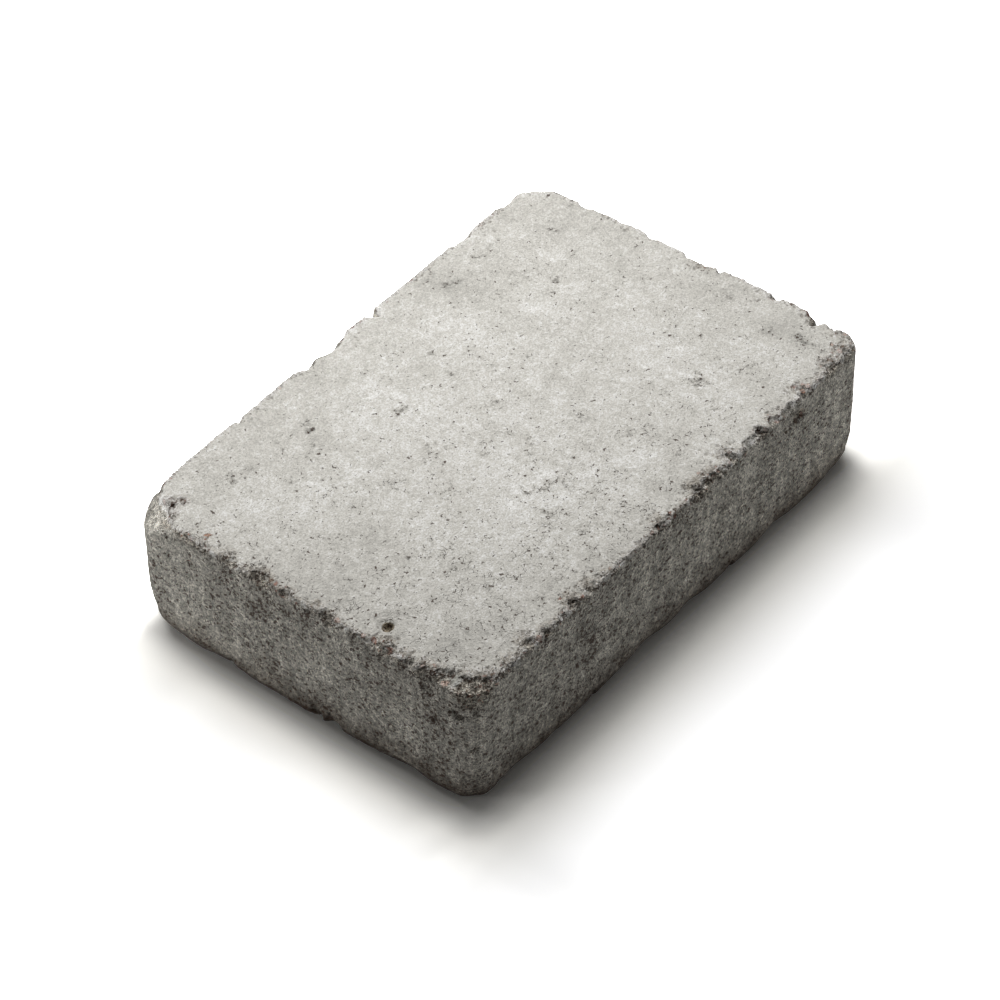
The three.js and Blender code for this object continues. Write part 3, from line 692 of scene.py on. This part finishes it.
concrete = {
    "skin": "#dad7cf",  # cement skin of the wearing face
    "wall": "#bebab1",
    "fresh": "#d2cabc",  # where grains fell out
    # painted shade in pits and cracks, and in the holes of lost grains
    "pitShade": "#402a1b",
    "soilAndShade": "#5a4e42",  # that the bed left on the foot of the walls, together with painted shade near the floor
    "roughness": 0.95,
    "specular": 0.3,
    "bump": 1.2,  # mm
    # mm from lump to lump, layers, roughness, how much longer it is along Z, how far it is warped
    "patterns": {
        "cloud": (30, 2, 0.6, 1, 0),
        "patch": (7, 3, 0.6, 1, 0),
        "streak": (3, 2, 0.5, 9, 0),
        "grit": (2.2, 2, 0.6, 1, 0),
        "sand": (0.6, 2, 0.8, 1, 0),  # the coarsest of the sand; the rest is too fine to show
        "speck": (1.25, 2, 0.65, 0.8, 0.8),
        "crack": (5, 3, 0.6, 1, 0),
        "bloom": (15, 4, 0.6, 1, 0),
    },
    # measures that go over into each other: where that begins and ends, and what they are there
    "ranges": {
        "skin": (53.4, 54.6, 0, 1),  # how far the surface is skin, by height in mm with its wander
        "skinPits": (-0.6, -0.25, 0.28, 0.341),  # share that is pits, from a whole to a worn place
        "wallPits": (0.65, 0.35, 0.385, 0.45),
        "arrisPits": (0.65, 0.95, 0, 0.05),  # and more of them in the skin at an arris
        "pitRim": (0, 0.02, 0, 1),  # how sharp the rim of a pit is
        "crackLine": (0.005, 0.002, 0, 1),  # how wide and sharp a crack is
        "crackedSkin": (-0.36, -0.31, 0, 1),  # by how worn it is
        "bloom": (0.02, 0, 0, 0.1),  # tone of the thin veins of lime on the skin
        "footShade": (6, 1, 0, -0.22),  # painted shade on the foot of the walls, by height in mm
        "soilAndShade": (30, 3, 0, 0.98),  # soil and painted shade, by height in mm with its wander
        "lime": (0, 0.2, 1, 0.45),  # share of its colour that the skin keeps, by how much paler it is
    },
    "skinWander": {"grit": 2.0, "patch": 5.0},  # mm that these patterns let the skin reach down
    "soilAndShadeWander": 14.0,  # mm that the patches let the bare wall reach down
    "wornToward": (-0.0011, -0.0018, 0),  # how much more worn the skin is with each mm in X and Y
    # how much lighter and darker each pattern makes the walls, and the skin; grit and sand, which are
    # also the relief, paint shade into its lows besides their own tone
    "wallTone": {"patch": 0.7, "streak": 0.8, "grit": 1.6, "sand": 2.9},
    "skinTone": {"cloud": 0.35, "patch": 0.4, "grit": 0.35, "sand": 1.1},
    "edgeTone": -0.14,  # of the skin at the arris
    "smearAndShadeTone": 0.2,  # of what the mould left smooth, and of the painted shade in the same list
    "freshTone": 0.2,  # of the grains laid bare
    "freshPits": 0.01,  # how many more pits there are between the grains laid bare
    "smearPits": -0.1,  # and on the walls where the mould left them smooth
    # heights in the relief, where the sand of the walls is 1
    "wallGrit": 0.7,
    "skinSand": 0.3,
    "freshSand": 0.4,  # more of it where the surface is freshly broken
    "pitDepth": -0.5,
    # how far each of these colours covers the one under it
    "freshColour": 0.6,
    "grainColour": 0.85,
    "pitShadeCover": 0.85,
}


def tumbledConcrete():
    # cast concrete, tumbled: matt, a smooth pale skin on top and an open, sandy texture on the walls
    material = bpy.data.materials.new("tumbledConcrete")
    material.use_nodes = True
    tree = material.node_tree
    tree.nodes.clear()
    limits = ("From Min", "From Max", "To Min", "To Max")
    ranges = {name: dict(zip(limits, values)) for name, values in concrete["ranges"].items()}

    place = addNode(tree, "ShaderNodeTexCoord", output="Object")
    place = addNode(tree, "ShaderNodeVectorMath", {"operation": "SCALE"},
                    {0: place, "Scale": float(mmPerMetre)})
    apart = 17.3  # mm that the patterns are taken apart
    noise = {}
    for number, (name, pattern) in enumerate(concrete["patterns"].items()):
        size, layers, roughness, longer, warp = pattern
        shifted = addNode(tree, "ShaderNodeVectorMath", {"operation": "MULTIPLY_ADD"},
                          {0: place, 1: (1, 1, 1 / longer), 2: (apart * number, 0, 0)})
        noise[name] = addNode(tree, "ShaderNodeTexNoise", None, {
            "Vector": shifted, "Scale": 1 / size, "Detail": layers - 1.0,
            "Roughness": roughness, "Distortion": warp,
        })
    # thin lines, where a noise is at its middle
    lines = {}
    for name in ("crack", "bloom"):
        line = addNode(tree, "ShaderNodeMath", {"operation": "SUBTRACT"}, {0: noise[name], 1: 0.5})
        lines[name] = addNode(tree, "ShaderNodeMath", {"operation": "ABSOLUTE"}, {0: line})
    marks = {}
    for name in ("freshBreak", "holeShade", "smearAndPaintedShade", "nearEdge"):
        marks[name] = addNode(tree, "ShaderNodeAttribute", {"attribute_name": name}, output="Fac")
    fresh, smearAndPaintedShade = marks["freshBreak"], marks["smearAndPaintedShade"]

    # how far the surface is skin: 1 on the wearing face, 0 on the walls
    height = addNode(tree, "ShaderNodeSeparateXYZ", None, {0: place}, 2)
    ragged = height
    for name, wander in concrete["skinWander"].items():
        ragged = addNode(tree, "ShaderNodeMath", {"operation": "MULTIPLY_ADD"},
                         {0: noise[name], 1: wander, 2: ragged})
    skin = addNode(tree, "ShaderNodeMapRange", {"interpolation_type": "SMOOTHSTEP"},
                   {"Value": ragged, **ranges["skin"]})

    # pits, where sand at the surface fell out: more of them where the skin is worn
    worn = addNode(tree, "ShaderNodeVectorMath", {"operation": "DOT_PRODUCT"},
                   {0: place, 1: concrete["wornToward"]}, "Value")
    worn = addNode(tree, "ShaderNodeMath", {"operation": "SUBTRACT"}, {0: worn, 1: noise["patch"]})
    skinShare = addNode(tree, "ShaderNodeMapRange", None, {"Value": worn, **ranges["skinPits"]})
    wallShare = addNode(tree, "ShaderNodeMapRange", None,
                        {"Value": noise["patch"], **ranges["wallPits"]})
    wallShare = addNode(tree, "ShaderNodeMath", {"operation": "MULTIPLY_ADD"},
                        {0: smearAndPaintedShade, 1: concrete["smearPits"], 2: wallShare})
    atArris = addNode(tree, "ShaderNodeMapRange", {"interpolation_type": "SMOOTHSTEP"},
                      {"Value": marks["nearEdge"], **ranges["arrisPits"]})
    skinShare = addNode(tree, "ShaderNodeMath", {"operation": "ADD"}, {0: skinShare, 1: atArris})
    share = addNode(tree, "ShaderNodeMix", {"data_type": "FLOAT"}, {0: skin, 2: wallShare, 3: skinShare})
    share = addNode(tree, "ShaderNodeMath", {"operation": "MULTIPLY_ADD"},
                    {0: fresh, 1: concrete["freshPits"], 2: share})
    pits = addNode(tree, "ShaderNodeMath", {"operation": "SUBTRACT"}, {0: share, 1: noise["speck"]})
    pits = addNode(tree, "ShaderNodeMapRange", None, {"Value": pits, **ranges["pitRim"]})

    # short cracks where the skin is worn
    crack = addNode(tree, "ShaderNodeMapRange", None, {"Value": lines["crack"], **ranges["crackLine"]})
    cracked = addNode(tree, "ShaderNodeMapRange", None, {"Value": worn, **ranges["crackedSkin"]})
    crack = addNode(tree, "ShaderNodeMath", {"operation": "MULTIPLY"}, {0: crack, 1: cracked})
    crack = addNode(tree, "ShaderNodeMath", {"operation": "MULTIPLY"}, {0: crack, 1: skin})
    pits = addNode(tree, "ShaderNodeMath", {"operation": "MAXIMUM"}, {0: pits, 1: crack})

    # relief: grit and sand on the walls, sand alone on the skin, pits, and more sand in a fresh break
    wallRelief = addNode(tree, "ShaderNodeMath", {"operation": "MULTIPLY_ADD"},
                         {0: noise["grit"], 1: concrete["wallGrit"], 2: noise["sand"]})
    skinRelief = addNode(tree, "ShaderNodeMath", {"operation": "MULTIPLY"},
                         {0: noise["sand"], 1: concrete["skinSand"]})
    relief = addNode(tree, "ShaderNodeMix", {"data_type": "FLOAT"},
                     {0: skin, 2: wallRelief, 3: skinRelief})
    relief = addNode(tree, "ShaderNodeMath", {"operation": "MULTIPLY_ADD"},
                     {0: pits, 1: concrete["pitDepth"], 2: relief})
    coarse = addNode(tree, "ShaderNodeMath", {"operation": "MULTIPLY"},
                     {0: fresh, 1: concrete["freshSand"]})
    relief = addNode(tree, "ShaderNodeMath", {"operation": "MULTIPLY_ADD"},
                     {0: coarse, 1: noise["sand"], 2: relief})

    # tone: the patterns lighten and darken the walls and the skin, each in its own measure; grit and
    # sand follow the relief, so there they paint shade into its lows
    tones = {}
    for part in ("wallTone", "skinTone"):
        tone = -0.5 * sum(concrete[part].values())  # a noise is 0.5 on the mean
        for name, measure in concrete[part].items():
            tone = addNode(tree, "ShaderNodeMath", {"operation": "MULTIPLY_ADD"},
                           {0: noise[name], 1: measure, 2: tone})
        tones[part] = tone
    skinTone = addNode(tree, "ShaderNodeMath", {"operation": "MULTIPLY_ADD"},
                       {0: marks["nearEdge"], 1: concrete["edgeTone"], 2: tones["skinTone"]})
    bloom = addNode(tree, "ShaderNodeMapRange", {"interpolation_type": "SMOOTHSTEP"},
                    {"Value": lines["bloom"], **ranges["bloom"]})
    skinTone = addNode(tree, "ShaderNodeMath", {"operation": "ADD"}, {0: skinTone, 1: bloom})
    tone = addNode(tree, "ShaderNodeMix", {"data_type": "FLOAT"},
                   {0: skin, 2: tones["wallTone"], 3: skinTone})
    # the smears lighten and darken the tone, part of it painted shade; fresh breaks are paler
    for mark, measure in ((smearAndPaintedShade, concrete["smearAndShadeTone"]), (fresh, concrete["freshTone"])):
        tone = addNode(tree, "ShaderNodeMath", {"operation": "MULTIPLY_ADD"},
                       {0: mark, 1: measure, 2: tone})
    # painted shade: the foot of the walls is darker
    footShade = addNode(tree, "ShaderNodeMapRange", {"interpolation_type": "SMOOTHSTEP"},
                   {"Value": height, **ranges["footShade"]})
    tone = addNode(tree, "ShaderNodeMath", {"operation": "ADD"}, {0: tone, 1: footShade})
    tone = addNode(tree, "ShaderNodeMath", {"operation": "EXPONENT"}, {0: tone})

    # colour: the wall with soil and painted shade at its foot, the skin, fresh breaks and coloured
    # grains, each over the one before
    soiledAndShaded = addNode(tree, "ShaderNodeMath", {"operation": "MULTIPLY_ADD"},
                     {0: noise["patch"], 1: concrete["soilAndShadeWander"], 2: height})
    soiledAndShaded = addNode(tree, "ShaderNodeMapRange", {"interpolation_type": "SMOOTHSTEP"},
                     {"Value": soiledAndShaded, **ranges["soilAndShade"]})
    crumbly = addNode(tree, "ShaderNodeMath", {"operation": "MULTIPLY"},
                      {0: fresh, 1: concrete["freshColour"]})
    colour = linearColour(concrete["wall"])
    for name, cover in (("soilAndShade", soiledAndShaded), ("skin", skin), ("fresh", crumbly)):
        colour = addNode(tree, "ShaderNodeMix", {"data_type": "RGBA"},
                         {0: cover, 6: colour, 7: linearColour(concrete[name])}, 2)
    grain = addNode(tree, "ShaderNodeAttribute", {"attribute_name": "grainTint"}).node
    tinted = addNode(tree, "ShaderNodeMath", {"operation": "MULTIPLY"},
                     {0: grain.outputs["Alpha"], 1: concrete["grainColour"]})
    colour = addNode(tree, "ShaderNodeMix", {"data_type": "RGBA"},
                     {0: tinted, 6: colour, 7: grain.outputs["Color"]}, 2)
    colour = addNode(tree, "ShaderNodeVectorMath", {"operation": "SCALE"}, {0: colour, "Scale": tone})

    # where the skin is paler there is more lime in it, which is a cooler white
    limy = addNode(tree, "ShaderNodeMath", {"operation": "SUBTRACT"}, {0: tone, 1: 1.0})
    limy = addNode(tree, "ShaderNodeMath", {"operation": "MULTIPLY"}, {0: limy, 1: skin})
    limy = addNode(tree, "ShaderNodeMapRange", None, {"Value": limy, **ranges["lime"]})
    colour = addNode(tree, "ShaderNodeHueSaturation", None, {"Saturation": limy, "Color": colour})

    # painted shade: pits, cracks and the holes of lost grains are dark
    hollow = addNode(tree, "ShaderNodeMath", {"operation": "MULTIPLY"},
                     {0: pits, 1: concrete["pitShadeCover"]})
    hollow = addNode(tree, "ShaderNodeMath", {"operation": "MAXIMUM"},
                     {0: hollow, 1: marks["holeShade"]})
    colour = addNode(tree, "ShaderNodeMix", {"data_type": "RGBA"},
                     {0: hollow, 6: colour, 7: linearColour(concrete["pitShade"])}, 2)

    bump = addNode(tree, "ShaderNodeBump", None,
                   {"Strength": 1.0, "Distance": concrete["bump"] / mmPerMetre, "Height": relief})
    surface = addNode(tree, "ShaderNodeBsdfPrincipled", None, {
        "Base Color": colour, "Roughness": concrete["roughness"],
        "Specular IOR Level": concrete["specular"], "Normal": bump,
    })
    addNode(tree, "ShaderNodeOutputMaterial", None, {"Surface": surface})
    return material


makeCamera()
makeStudio()
makeStone()
bpy.context.scene.view_settings.view_transform = "Standard"
